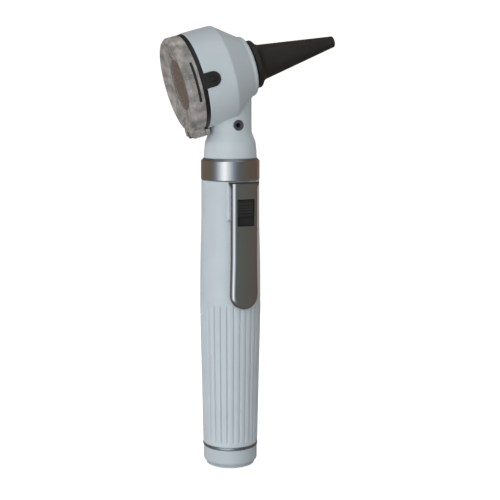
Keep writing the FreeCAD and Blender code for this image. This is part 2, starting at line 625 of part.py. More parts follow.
# Swivel window --------------------------------------------------------------------------------
def window_frame():
    """Clear swivel window: dished front, rounded rim, bore for the lens, and the pivot lug."""
    body = turned([(LENS_R + 0.02, WINDOW_BACK), (WINDOW_R, WINDOW_BACK), (WINDOW_R, WINDOW_FRONT + 1.5),
                   (WINDOW_R - 0.25, WINDOW_FRONT + 0.75), (WINDOW_R - 0.8, WINDOW_FRONT + 0.2),
                   (WINDOW_R - 1.6, WINDOW_FRONT), (WINDOW_R - 2.4, WINDOW_FRONT + 0.15),
                   (LENS_R + 0.12, -5.5), (LENS_R + 0.02, -5.4)])
    lug_outline = [Vec(-10.5, -LUG_HALF_WIDTH, 0), Vec(LUG_BOTTOM + 0.5, -LUG_HALF_WIDTH, 0),
                   Vec(LUG_BOTTOM, -LUG_HALF_WIDTH + 0.5, 0), Vec(LUG_BOTTOM, LUG_HALF_WIDTH - 0.5, 0),
                   Vec(LUG_BOTTOM + 0.5, LUG_HALF_WIDTH, 0), Vec(-10.5, LUG_HALF_WIDTH, 0)]
    lug = prism(lug_outline, Vec(0, 0, WINDOW_FRONT), Vec(0, 0, WINDOW_BACK - WINDOW_FRONT))
    dish_r = WINDOW_R - 2.4
    keep_out = turned([(0, WINDOW_FRONT - 1), (dish_r, WINDOW_FRONT - 1), (dish_r, WINDOW_FRONT + 0.15),
                       (LENS_R + 1.0, -5.6), (LENS_R + 1.0, WINDOW_BACK + 1), (0, WINDOW_BACK + 1)])
    slant = prism([Vec(LUG_BOTTOM - 1, 0, WINDOW_FRONT - 0.1), Vec(LUG_BOTTOM + 1.9, 0, WINDOW_FRONT - 0.1),
                   Vec(LUG_BOTTOM - 1, 0, WINDOW_FRONT + 2.6)], Vec(0, -10, 0), Vec(0, 20, 0))
    body = body.fuse(lug.cut(keep_out).cut(slant))
    body = body.cut(cyl(PIVOT_R + 0.04, -10, 2, PIVOT_V))
    body = body.cut(cyl(PIVOT_HEAD_R + GAP, WINDOW_FRONT - 3, WINDOW_FRONT + 0.95, PIVOT_V))
    body = body.cut(cyl(WASHER_R + GAP, WINDOW_BACK - 0.2, WINDOW_BACK + 1, PIVOT_V))
    finger_grooves = tube(WINDOW_R + 1, WINDOW_R - GROOVE_DEPTH, *GROOVE_S).common(
        block(-GROOVE_HALF, GROOVE_HALF, -30, 30, -4, -2))
    return on_head(one(body.cut(finger_grooves)))


def magnifier_lens():
    """Double-convex glass lens, thickest on the axis."""
    radius = LENS_R
    back_rim, front_rim, bulge = -2.9, -5.0, 1.15
    front = [(radius * k / 6.0, front_rim - bulge * (1 - (k / 6.0) ** 2)) for k in range(7)]
    back = [(radius * k / 6.0, back_rim + bulge * 0.8 * (1 - (k / 6.0) ** 2)) for k in range(6, -1, -1)]
    return on_head(turned(front + back))


def lens_retainer():
    """Split spring ring that holds the lens in its bore from behind."""
    return on_head(tube(LENS_R, LENS_R - 0.7, -2.75, WINDOW_BACK - 0.1))


NODES = [
    grip_shell, inner_tube, collar_ring, contact_carrier, battery_contact, contact_pin, contact_strip,
    contact_spring, clip_bracket, clip_rivets, pocket_clip, switch_slider, switch_blade, bottom_cap,
    cap_seal, cap_contact, battery_spring, head_housing, head_ferrule, head_seal, lamp_holder, lamp_base,
    lamp_contact, lamp_envelope, insufflation_port, nose_insert, speculum, retaining_ring, ring_pins,
    pivot_block, pivot_screw, friction_washer, window_frame, magnifier_lens, lens_retainer,
]

os.makedirs("parts", exist_ok=True)
for build in NODES:
    save(build.__name__, build())
save("battery_lower", cell(CELLS_BASE))
save("battery_upper", cell(CELLS_BASE + CELL_LENGTH))
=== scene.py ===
"""Looks of the pocket otoscope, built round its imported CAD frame.

Outlines are written in millimetres and turned into meshes in metres. Pieces of the handle are turned
about the frame's Z. Pieces of the head are drawn about their own Z, with local x up and local y towards
-Y, and laid on the viewing axis. Pieces at the clip are drawn facing -Y and turned to the clip's azimuth.
"""
import json
import math

import bmesh
import bpy
from mathutils import Matrix, Vector


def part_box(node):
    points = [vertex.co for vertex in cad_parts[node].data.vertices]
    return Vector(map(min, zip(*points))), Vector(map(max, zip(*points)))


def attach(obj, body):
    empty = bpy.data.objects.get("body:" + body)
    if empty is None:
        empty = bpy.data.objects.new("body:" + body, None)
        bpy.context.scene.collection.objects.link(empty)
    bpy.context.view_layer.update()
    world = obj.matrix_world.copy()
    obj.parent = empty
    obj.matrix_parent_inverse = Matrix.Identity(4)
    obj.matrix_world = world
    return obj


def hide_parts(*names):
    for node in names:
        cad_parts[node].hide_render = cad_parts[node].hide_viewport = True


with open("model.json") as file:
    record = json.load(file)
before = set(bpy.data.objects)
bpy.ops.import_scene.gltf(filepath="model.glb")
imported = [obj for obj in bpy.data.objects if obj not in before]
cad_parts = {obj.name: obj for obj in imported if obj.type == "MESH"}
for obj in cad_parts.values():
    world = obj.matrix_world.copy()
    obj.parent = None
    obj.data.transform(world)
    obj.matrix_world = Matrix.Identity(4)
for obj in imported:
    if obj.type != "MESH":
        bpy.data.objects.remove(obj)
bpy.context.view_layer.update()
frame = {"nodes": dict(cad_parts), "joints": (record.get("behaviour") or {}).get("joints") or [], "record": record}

MM = 0.001
NODES = frame["nodes"]
JOINTS = {joint["name"]: joint for joint in frame["joints"]}
SLOTS = {row["node"]: row["material_slot"] for row in frame["record"]["subparts"]}


# Places, most of them read from the frame -----------------------------------------------------
def top_of(node):
    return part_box(node)[1].z / MM


def bottom_of(node):
    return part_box(node)[0].z / MM


def half_width(node):
    low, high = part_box(node)
    return (high.y - low.y) / 2 / MM


PIVOT_DROP = 18.75           # the window's pivot lies this far under the viewing axis
PIVOT_BACK = 4.4             # and this far behind the barrel's back face
HEAD_AXIS = Vector(JOINTS["speculum_pull"]["axis"]).normalized()
HEAD_SIDE = Vector((0, -1, 0))
HEAD_UP = HEAD_AXIS.cross(HEAD_SIDE).normalized() * -1
HEAD_ORIGIN = Vector(JOINTS["window_swing"]["pos_m"]) + (HEAD_AXIS * PIVOT_BACK + HEAD_UP * PIVOT_DROP) * MM
HEAD_TURN = Matrix((HEAD_UP, HEAD_SIDE, HEAD_AXIS)).transposed().to_4x4()
CLIP_TANGENT = -Vector(JOINTS["clip_flex"]["axis"])
CLIP_AZIMUTH = math.atan2(CLIP_TANGENT.y, CLIP_TANGENT.x)
PORT_LOW, PORT_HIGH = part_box("insufflation_port")
PORT_CENTRE = (PORT_LOW + PORT_HIGH) / 2

FACING = Matrix.Rotation(math.pi / 2, 4, "X")      # lays a piece's own Z towards -Y
AT_HANDLE = Matrix.Identity(4)
AT_HEAD = Matrix.Translation(HEAD_ORIGIN) @ HEAD_TURN
AT_CLIP = Matrix.Rotation(CLIP_AZIMUTH, 4, "Z")
AT_PORT = (Matrix.Rotation(math.atan2(PORT_CENTRE.x, -PORT_CENTRE.y), 4, "Z")
           @ Matrix.Translation((0, 0, PORT_CENTRE.z)) @ FACING)

RING_BASE = 111.7
RING_TOP = top_of("collar_ring")
RING_R = half_width("collar_ring")
GRIP_BASE = bottom_of("grip_shell")
GRIP_TOP = top_of("grip_shell")
CAP_R = half_width("bottom_cap")
CAP_TOP = top_of("bottom_cap")
BAND_R = half_width("inner_tube")
TUBE_R = 8.5
TUBE_IN_R = 7.75
BARREL_R = half_width("head_housing")


# Mesh building --------------------------------------------------------------------------------
def softened(corners, steps=5):
    """Points of an outline whose corners are (x, y) or (x, y, radius); a radius makes the corner an arc."""
    points = []
    for i, corner in enumerate(corners):
        here = Vector(corner[:2])
        if len(corner) < 3:
            points.append(here)
            continue
        back = (Vector(corners[i - 1][:2]) - here).normalized()
        ahead = (Vector(corners[(i + 1) % len(corners)][:2]) - here).normalized()
        half = back.angle(ahead) / 2
        centre = here + (back + ahead).normalized() * (corner[2] / math.sin(half))
        spoke = here + back * (corner[2] / math.tan(half)) - centre
        sweep = spoke.angle_signed(here + ahead * (corner[2] / math.tan(half)) - centre)
        for k in range(steps + 1):
            points.append(centre + Matrix.Rotation(-sweep * k / steps, 2) @ spoke)
    return points


def densified(points, closed=False, step=1.2):
    """The same outline with extra points, so that each of its lines is shorter than twice the step."""
    dense = []
    for a, b in zip(points, points[1:] + (points[:1] if closed else [])):
        pieces = max(1, int((b - a).length / step))
        dense += [a + (b - a) * (k / pieces) for k in range(pieces)]
    return dense if closed else dense + [points[-1]]


def in_scene(name, data):
    """A new object in the scene that shows a mesh, a light or a camera."""
    thing = bpy.data.objects.new(name, data)
    bpy.context.scene.collection.objects.link(thing)
    return thing


def from_bmesh(name, bm, place):
    bmesh.ops.recalc_face_normals(bm, faces=bm.faces)
    mesh = bpy.data.meshes.new(name)
    bm.to_mesh(mesh)
    bm.free()
    mesh.transform(place)
    return in_scene(name, mesh)


def turned(name, outline, place=AT_HANDLE, segments=128, shape=None):
    """A closed outline of (radius, height) turned about Z.

    shape(radius, height, angle) may give another radius at each point.
    """
    bm = bmesh.new()
    rings = []
    for radius, height in outline:
        if radius < 1e-6:
            rings.append([bm.verts.new((0, 0, height * MM))] * segments)
            continue
        ring = []
        for k in range(segments):
            angle = 2 * math.pi * k / segments
            r = shape(radius, height, angle) if shape else radius
            ring.append(bm.verts.new((r * math.cos(angle) * MM, r * math.sin(angle) * MM, height * MM)))
        rings.append(ring)
    for a, b in zip(rings, rings[1:] + rings[:1]):
        for k in range(segments):
            corners = [a[k], a[(k + 1) % segments], b[(k + 1) % segments], b[k]]
            face = list(dict.fromkeys(corners))
            if len(face) > 2:
                bm.faces.new(face)
    return from_bmesh(name, bm, place)


def lofted(name, layers, place=AT_HANDLE):
    """A closed solid through layers of points, one loop per layer, capped at both ends."""
    bm = bmesh.new()
    loops = [[bm.verts.new(Vector(p) * MM) for p in layer] for layer in layers]
    for a, b in zip(loops, loops[1:]):
        for k in range(len(a)):
            bm.faces.new((a[k], a[(k + 1) % len(a)], b[(k + 1) % len(b)], b[k]))
    bm.faces.new(list(reversed(loops[0])))
    bm.faces.new(loops[-1])
    return from_bmesh(name, bm, place)


def slab(name, outline, low, high, soft, place=AT_HANDLE, facing="y"):
    """An outline of (x, z) pushed from depth low to depth high, with edges rounded by soft.

    facing "y" lays the outline in x and z and pushes along -y, as pieces at the clip need.
    facing "z" lays it in x and y and pushes along z, as pieces of the head need.
    """
    points = softened(outline)
    centre = sum(points, Vector((0, 0))) / len(points)

    def layer(depth, inset):
        loop = []
        for p in points:
            arm = p - centre
            dx = math.copysign(min(inset, abs(arm.x)), arm.x)
            dy = math.copysign(min(inset, abs(arm.y)), arm.y)
            q = p - Vector((dx, dy))
            loop.append((q.x, -depth, q.y) if facing == "y" else (q.x, q.y, depth))
        return loop

    quarter = [math.pi / 2 * k / 3 for k in range(4)]
    layers = [layer(low + soft * (1 - math.cos(a)), soft * (1 - math.sin(a))) for a in quarter]
    layers += [layer(high - soft * (1 - math.sin(a)), soft * (1 - math.cos(a))) for a in quarter]
    return lofted(name, layers, place)


def box(name, low, high, place=AT_HANDLE):
    """A plain block, used only to cut another piece or to join it."""
    bm = bmesh.new()
    bmesh.ops.create_cube(bm, size=1)
    size = [(b - a) * MM for a, b in zip(low, high)]
    centre = [(a + b) / 2 * MM for a, b in zip(low, high)]
    bmesh.ops.transform(bm, matrix=Matrix.Translation(centre) @ Matrix.Diagonal(size + [1]), verts=bm.verts)
    return from_bmesh(name, bm, place)


def carve(piece, other, operation="DIFFERENCE"):
    """Cuts, joins or intersects a piece with another object, which is used up."""
    modifier = piece.modifiers.new("carve", "BOOLEAN")
    modifier.operation = operation
    modifier.solver = "EXACT"
    modifier.object = other
    bpy.context.view_layer.update()
    graph = bpy.context.evaluated_depsgraph_get()
    mesh = bpy.data.meshes.new_from_object(piece.evaluated_get(graph))
    piece.modifiers.remove(modifier)
    piece.data = mesh
    bpy.data.objects.remove(other)


def dress(piece, material, body, *nodes, sharp=40.0):
    """Smooth shading, material, body and the CAD nodes that the piece stands for."""
    piece.data.materials.clear()
    piece.data.materials.append(material)
    piece.data.shade_smooth()
    piece.data.set_sharp_from_angle(angle=math.radians(sharp))
    weighted = piece.modifiers.new("normals", "WEIGHTED_NORMAL")
    weighted.keep_sharp = True
    weighted.weight = 80
    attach(piece, body)
    if nodes:
        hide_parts(*nodes)
    return piece


# Materials ------------------------------------------------------------------------------------
class Nodes:
    """A node tree whose nodes are added and linked by short calls."""

    def __init__(self, tree):
        self.tree = tree

    def add(self, kind, **values):
        """A new node. A value goes to the input of that name, or else to the node's own setting."""
        node = self.tree.nodes.new(kind)
        for key, value in values.items():
            if key in node.inputs:
                node.inputs[key].default_value = value
            else:
                setattr(node, key, value)
        return node

    def link(self, source, target):
        self.tree.links.new(source, target)

    def ramp(self, source, low, high, out_low=0.0, out_high=1.0, smooth=False):
        """The source's range from low to high mapped to out_low to out_high, and held beyond it."""
        node = self.add("ShaderNodeMapRange", interpolation_type="SMOOTHSTEP" if smooth else "LINEAR")
        node.inputs["From Min"].default_value = low
        node.inputs["From Max"].default_value = high
        node.inputs["To Min"].default_value = out_low
        node.inputs["To Max"].default_value = out_high
        self.link(source, node.inputs["Value"])
        return node.outputs["Result"]

    def mix(self, factor, a, b):
        """Colour a where the factor is 0 and colour b where it is 1; each is a tuple or an output."""
        node = self.add("ShaderNodeMix", data_type="RGBA")
        for socket, value in ((node.inputs[6], a), (node.inputs[7], b)):
            if isinstance(value, tuple):
                socket.default_value = (*value, 1.0)
            else:
                self.link(value, socket)
        self.link(factor, node.inputs[0])
        return node.outputs[2]


class Look(Nodes):
    """A material with one principled shader, whose patterns lie in the object's own space."""

    def __init__(self, name):
        self.material = bpy.data.materials.new(name)
        self.material.use_nodes = True
        super().__init__(self.material.node_tree)
        self.shader = self.tree.nodes["Principled BSDF"]
        self.place = self.add("ShaderNodeTexCoord").outputs["Object"]

    def stretched(self, x, y, z):
        mapping = self.add("ShaderNodeMapping")
        mapping.inputs["Scale"].default_value = (x, y, z)
        self.link(self.place, mapping.inputs["Vector"])
        return mapping.outputs["Vector"]

    def noise(self, scale, detail=2.0, vector=None):
        node = self.add("ShaderNodeTexNoise", Scale=scale, Detail=detail)
        self.link(vector or self.place, node.inputs["Vector"])
        return node.outputs["Fac"]

    def bump(self, height, strength, distance, after=None):
        node = self.add("ShaderNodeBump", Strength=strength, Distance=distance)
        self.link(height, node.inputs["Height"])
        if after:
            self.link(after, node.inputs["Normal"])
        return node.outputs["Normal"]

    def set(self, **values):
        """Sets the shader's inputs, each to a number, a colour or another node's output."""
        for key, value in values.items():
            socket = self.shader.inputs[key.replace("_", " ")]
            if hasattr(value, "links"):
                self.link(value, socket)
            elif isinstance(value, tuple):
                socket.default_value = (*value, 1.0)
            else:
                socket.default_value = value


def moulded_plastic(name, colour, shade, roughness, grain=0.06):
    """Injection-moulded plastic: faint clouding, specks of dust, fine grain and lighter raised edges."""
    look = Look(name)
    cloud = look.ramp(look.noise(90.0, 4.0), 0.35, 0.65)
    speck = look.ramp(look.noise(1400.0, 2.0), 0.66, 0.74, 0.0, 0.35)
    base = look.mix(cloud, colour, shade)
    base = look.mix(speck, base, tuple(c * 0.86 for c in colour))
    edge = look.ramp(look.add("ShaderNodeNewGeometry").outputs["Pointiness"], 0.53, 0.60, 0.0, 0.4)
    base = look.mix(edge, base, tuple(min(1.0, c * 1.08 + 0.02) for c in colour))
    rough = look.ramp(look.noise(260.0, 3.0), 0.3, 0.7, roughness - 0.05, roughness + 0.07)
    height = look.noise(5200.0, 2.0)
    scuffs = look.noise(420.0, 3.0, look.stretched(1.0, 1.0, 0.12))
    normal = look.bump(scuffs, 0.05, 0.00006, look.bump(height, grain, 0.00003))
    look.set(Base_Color=base, Roughness=rough, Normal=normal, Specular_IOR_Level=0.45)
    return look.material


def polished_metal(name, colour, roughness, brushed=(1.0, 1.0, 60.0)):
    """Plated metal: almost mirror-smooth, with hairline polishing marks and faint smears."""
    look = Look(name)
    hairline = look.noise(160.0, 5.0, look.stretched(*brushed))
    smear = look.ramp(look.noise(120.0, 4.0), 0.35, 0.75, roughness, roughness + 0.07)
    tint = look.mix(look.ramp(look.noise(70.0, 3.0), 0.3, 0.7), colour, tuple(c * 0.93 for c in colour))
    look.set(Base_Color=tint, Metallic=1.0, Roughness=smear, Normal=look.bump(hairline, 0.05, 0.00003))
    return look.material


def plain_metal(name, colour, roughness):
    """Unplated inner metal with drawing marks and stains."""
    look = Look(name)
    drawn = look.noise(300.0, 6.0, look.stretched(1.0, 1.0, 0.04))
    stain = look.ramp(look.noise(180.0, 5.0), 0.45, 0.7)
    look.set(Base_Color=look.mix(stain, colour, tuple(c * 0.72 for c in colour)), Metallic=1.0,
             Roughness=look.ramp(drawn, 0.3, 0.7, roughness - 0.08, roughness + 0.12),
             Normal=look.bump(drawn, 0.12, 0.00005))
    return look.material


def clear_plastic(name, colour, roughness, milk):
    """Clear acrylic with moulding streaks, fine handling scratches and a mottled haze."""
    look = Look(name)
    streak = look.noise(150.0, 5.0, look.stretched(1.0, 1.0, 0.25))
    scratch = look.noise(1500.0, 3.0, look.stretched(0.08, 1.0, 1.0))
    normal = look.bump(scratch, 0.06, 0.00004, look.bump(streak, 0.30, 0.0006))
    mottle = look.ramp(look.noise(270.0, 7.0, look.stretched(0.75, 0.9, 1.0)), 0.36, 0.62)
    glint = look.ramp(look.noise(1100.0, 3.0, look.stretched(0.5, 1.0, 1.0)), 0.62, 0.70, 0.0, 0.6)
    tint = look.mix(mottle, colour, tuple(c * 0.50 for c in colour))
    tint = look.mix(glint, tint, tuple(min(1.0, c * 1.5) for c in colour))
    look.set(Base_Color=tint, Transmission_Weight=1.0 - milk, IOR=1.49, Normal=normal,
             Roughness=look.ramp(streak, 0.3, 0.7, roughness, roughness + 0.14))
    return look.material


def glass(name, colour, roughness, clarity):
    """Ground and polished glass with faint dust; a clarity under 1 makes the rest of it a diffuse surface of its
    own colour.
    """
    look = Look(name)
    dust = look.ramp(look.noise(2200.0, 2.0), 0.62, 0.72, roughness, roughness + 0.25)
    tint = look.mix(look.ramp(look.noise(60.0), 0.3, 0.7), colour, tuple(c * 0.95 for c in colour))
    look.set(Base_Color=tint, Transmission_Weight=clarity, IOR=1.52, Roughness=dust,
             Normal=look.bump(look.noise(900.0, 2.0), 0.02, 0.00002))
    return look.material


def rubber(name, colour):
    """Matt rubber with a faint bloom."""
    look = Look(name)
    bloom = look.ramp(look.noise(300.0, 5.0), 0.45, 0.75, 0.0, 0.5)
    look.set(Base_Color=look.mix(bloom, colour, tuple(c * 1.8 + 0.01 for c in colour)), Roughness=0.82,
             Normal=look.bump(look.noise(3000.0, 2.0), 0.25, 0.00004))
    return look.material


def cell_jacket(name):
    """Plain dark battery film with a faint grain."""
    look = Look(name)
    look.set(Base_Color=(0.05, 0.06, 0.06), Roughness=look.ramp(look.noise(500.0), 0.3, 0.7, 0.25, 0.4),
             Metallic=0.3, Normal=look.bump(look.noise(900.0, 3.0), 0.1, 0.00004))
    return look.material


GRIP = moulded_plastic("grip_plastic", (0.515, 0.572, 0.600), (0.487, 0.545, 0.575), 0.42)
# The cap uses the grip's plastic painted about a tenth darker: painted shade for the dimmer lower end of the
# handle.
CAP_PAINTED_SHADE = moulded_plastic("cap_plastic_painted_shade", (0.462, 0.514, 0.540), (0.437, 0.490, 0.517), 0.42)
HEAD = moulded_plastic("head_plastic", (0.530, 0.592, 0.610), (0.502, 0.568, 0.590), 0.40)
BLACK = moulded_plastic("black_plastic", (0.012, 0.012, 0.012), (0.017, 0.017, 0.016), 0.42, 0.10)
FUNNEL = moulded_plastic("speculum_plastic", (0.018, 0.017, 0.014), (0.024, 0.022, 0.019), 0.50, 0.12)
SWITCH = moulded_plastic("switch_plastic", (0.016, 0.016, 0.015), (0.022, 0.022, 0.020), 0.48, 0.14)
PORT = moulded_plastic("port_plastic", (0.070, 0.070, 0.076), (0.085, 0.085, 0.092), 0.50, 0.12)
INSULATOR = moulded_plastic("insulator", (0.55, 0.50, 0.38), (0.50, 0.45, 0.33), 0.55)
CHROME = polished_metal("chrome", (0.88, 0.88, 0.88), 0.07)
SATIN = plain_metal("satin_metal", (0.62, 0.63, 0.64), 0.40)
CLIP_METAL = polished_metal("clip_metal", (0.86, 0.86, 0.86), 0.09, (1.0, 1.0, 0.05))
STEEL = plain_metal("steel", (0.56, 0.56, 0.55), 0.32)
TUBE_METAL = plain_metal("tube_metal", (0.66, 0.71, 0.75), 0.30)
# A dark brownish metal whose darkness is painted shade, standing for the dim gap under the collar where the
# bracket shows.
BRACKET_SHADE_METAL = plain_metal("bracket_metal_painted_shade", (0.40, 0.37, 0.33), 0.40)
BRASS = plain_metal("brass", (0.66, 0.48, 0.20), 0.30)
CLEAR = clear_plastic("clear_plastic", (0.80, 0.77, 0.72), 0.10, 0.44)
LENS = glass("lens_glass", (0.23, 0.183, 0.158), 0.04, 0.35)
BULB = glass("lamp_glass", (0.97, 0.97, 0.96), 0.02, 1.0)
RUBBER = rubber("rubber", (0.02, 0.02, 0.02))
JACKET = cell_jacket("cell_jacket")
SLOT_LOOK = {
    "grip_plastic": GRIP, "head_plastic": HEAD, "chrome": CHROME, "clip_metal": CLIP_METAL, "steel": STEEL,
    "brass": BRASS, "black_plastic": BLACK, "speculum_plastic": FUNNEL, "switch_plastic": SWITCH,
    "clear_plastic": CLEAR, "lens_glass": LENS, "lamp_glass": BULB, "rubber": RUBBER, "insulator": INSULATOR,
    "cell_jacket": JACKET, "port_plastic": PORT,
}


def paint_frame():
    """Every CAD node gets the finish of its slot; nodes that are replaced are hidden later."""
    for name, finish in SLOTS.items():
        for slot in NODES[name].material_slots:
            slot.link = "DATA"
            slot.material = SLOT_LOOK[finish]


# Handle ---------------------------------------------------------------------------------------
FLUTES = 28
FLUTE_START = math.radians(2.92)
FLUTE_BASE = 9.6
FLUTE_TOP = 65.5
FLUTE_DEPTH = 0.42
FLUTE_SHARE = 0.26           # half a groove's width, as a share of half the pitch
RIB_CROWN = 0.12
GRIP_STATIONS = ((10.62, GRIP_BASE), (11.08, 32.8), (11.62, 60.8),
                 (11.52, 80.5), (11.15, 95.0), (11.05, GRIP_TOP))
PAD_HALF = 6.55
PAD_BASE = 96.8
PAD_DEPTHS = (9.0, 11.4)


def fade(x):
    """A soft step from 0 to 1."""
    x = min(1.0, max(0.0, x))
    return x * x * (3 - 2 * x)


def grip_radius(z):
    """Outer radius of the grip at a height, on a smooth curve through its stations."""
    heights = [h for r, h in GRIP_STATIONS]
    radii = [r for r, h in GRIP_STATIONS]
    i = max(k for k in range(len(heights) - 1) if z >= heights[k] - 1e-6)
    slopes = [(radii[k + 1] - radii[k]) / (heights[k + 1] - heights[k]) for k in range(len(radii) - 1)]
    bends = [slopes[0]] + [(a + b) / 2 for a, b in zip(slopes, slopes[1:])] + [slopes[-1]]
    width = heights[i + 1] - heights[i]
    t = min(1.0, max(0.0, (z - heights[i]) / width))
    h00, h10 = 2 * t**3 - 3 * t**2 + 1, t**3 - 2 * t**2 + t
    h01, h11 = -2 * t**3 + 3 * t**2, t**3 - t**2
    return h00 * radii[i] + h10 * width * bends[i] + h01 * radii[i + 1] + h11 * width * bends[i + 1]


def flute(radius, z, angle):
    """Pulls the surface in along narrow grooves, and crowns the ribs between them."""
    if radius < TUBE_R + 1.2:
        return radius
    phase = ((angle - FLUTE_START) / (2 * math.pi) * FLUTES) % 1.0
    offset = abs(phase - 0.5) * 2
    groove = fade(1 - (1 - offset) / FLUTE_SHARE)
    crown = RIB_CROWN * (1 - (1 - offset) ** 2) - 0.05
    reach = fade((z - FLUTE_BASE) / 1.4) * fade((FLUTE_TOP - z) / 2.6)
    return radius - reach * (FLUTE_DEPTH * groove + crown)


def make_grip():
    """The fluted shell with the raised pad under the clip, cut for the slider's foot and the strip."""
    bore = TUBE_R + 0.05
    base_r, top_r = grip_radius(GRIP_BASE), grip_radius(GRIP_TOP)
    outer = [(base_r - 0.22, GRIP_BASE), (base_r - 0.06, GRIP_BASE + 0.06), (base_r, GRIP_BASE + 0.25)]
    z = GRIP_BASE + 0.8
    while z < GRIP_TOP - 0.5:
        outer.append((grip_radius(z), z))
        at_flute_end = z < FLUTE_BASE + 2.5 or FLUTE_TOP - 4 < z < FLUTE_TOP + 1
        z += 0.35 if at_flute_end else 2.0
    outer += [(top_r, GRIP_TOP - 0.25), (top_r - 0.06, GRIP_TOP - 0.06), (top_r - 0.22, GRIP_TOP)]
    outline = outer + [(bore, GRIP_TOP), (bore, GRIP_BASE)]
    grip = turned("grip", outline, segments=FLUTES * 22, shape=flute)
    pad_outline = [(-PAD_HALF, PAD_BASE, 0.6), (PAD_HALF, PAD_BASE, 0.6),
                   (PAD_HALF, GRIP_TOP - 0.02), (-PAD_HALF, GRIP_TOP - 0.02)]
    pad = slab("pad", pad_outline, *PAD_DEPTHS, 0.9, AT_CLIP)
    carve(pad, box("pad_foot", (-8, -14, PAD_BASE - 2), (8, -11.0, PAD_BASE + 0.9), AT_CLIP))
    carve(grip, pad, "UNION")
    carve(grip, box("slot", (-1.7, -12.4, 93.6), (1.7, -bore + 0.6, 103.9), AT_CLIP))
    carve(grip, box("strip_slot", (1.75, -9.15, 92.8), (3.15, -bore + 0.9, 113.0), AT_CLIP))
    dress(grip, GRIP, "handle", "grip_shell", sharp=32)


def make_cap():
    """The hollow screw cap with its rounded lower edge."""
    corner, inside_floor, thread_top = 1.8, 2.2, 6.82
    outline = softened([
        (0, 0), (CAP_R - 1.2, 0, 0.35), (CAP_R - corner + 0.3, 0.12, 0.3), (CAP_R, corner, 1.6),
        (CAP_R, CAP_TOP, 0.3), (9.95, CAP_TOP, 0.1), (9.95, thread_top), (8.55, thread_top),
        (8.55, inside_floor, 0.3), (0, inside_floor)], 6)
    # The cap's material carries painted shade: it is a darker copy of the grip's plastic.
    dress(turned("cap", outline), CAP_PAINTED_SHADE, "cap", "bottom_cap")


def make_tube():
    """The inner tube with the narrow flange that shows above the cap."""
    base, flange_top = 3.0, 8.4
    outline = softened([
        (TUBE_IN_R, base), (TUBE_R, base, 0.2), (TUBE_R, CAP_TOP + 0.1), (BAND_R, CAP_TOP + 0.1, 0.3),
        (BAND_R, flange_top, 0.3), (TUBE_R, flange_top), (TUBE_R, GRIP_TOP), (TUBE_IN_R, GRIP_TOP)])
    dress(turned("battery_tube", outline), TUBE_METAL, "handle", "inner_tube")


def make_collar():
    """The chromed ring, with satin chamfers and a satin skirt that goes into the tube."""
    top_chamfer, low_chamfer = 1.0, 0.3
    skirt, skirt_in, skirt_base = 7.7, 6.6, 108.0
    outline = softened([
        (7.0, RING_TOP, 0.15), (RING_R - top_chamfer, RING_TOP, 0.25),
        (RING_R, RING_TOP - top_chamfer, 0.35), (RING_R, RING_BASE + low_chamfer, 0.15),
        (RING_R - low_chamfer, RING_BASE, 0.1), (skirt, RING_BASE), (skirt, skirt_base),
        (skirt_in, skirt_base), (skirt_in, 113.2), (7.0, 113.6)], 6)
    collar = dress(turned("collar", outline, segments=160), CHROME, "handle", "collar_ring")
    collar.data.materials.append(SATIN)
    for face in collar.data.polygons:
        if not RING_BASE + low_chamfer < face.center.z / MM < RING_TOP - top_chamfer + 0.1:
            face.material_index = 1


# Clip and switch ------------------------------------------------------------------------------
CLIP_HALF = 5.5
CLIP_TOP = 111.0
CLIP_LOW = 62.8
CLIP_SKIRT_D = 11.5
CLIP_FACE_D = 13.75
CLIP_CROWN = 0.2
CLIP_CORNER = 1.9
CLIP_SHEET = 0.9
CLIP_FLARE = 0.3
CLIP_WALL_TOP = 109.4
CLIP_STRAIGHT_TO = 84        # below this height the clip widens by the flare
CLIP_REST_R = 11.76          # the foot stays clear of the grip inside this radius
DIMPLE_Z = 69.6
OPENING_Z = (95.1, 105.2)
OPENING_HALF = 3.55
PLATE_D = 11.45              # back face of the slider's plate and of the bracket


def clip_section(inset, flare):
    """Half of the clip's section as (distance from its middle line, distance from the handle's axis)."""
    half = CLIP_HALF - inset + flare
    corner = CLIP_CORNER - inset
    face_d = CLIP_FACE_D - inset
    edge_d = face_d - CLIP_CROWN - corner
    flat = half - corner
    points = [(flat * share, face_d - CLIP_CROWN * drop)
              for share, drop in ((0, 0), (0.35, 0.12), (0.7, 0.49))]
    for k in range(9):
        a = math.pi / 2 * (1 - k / 8)
        points.append((flat + corner * math.cos(a), edge_d + corner * math.sin(a)))
    return points


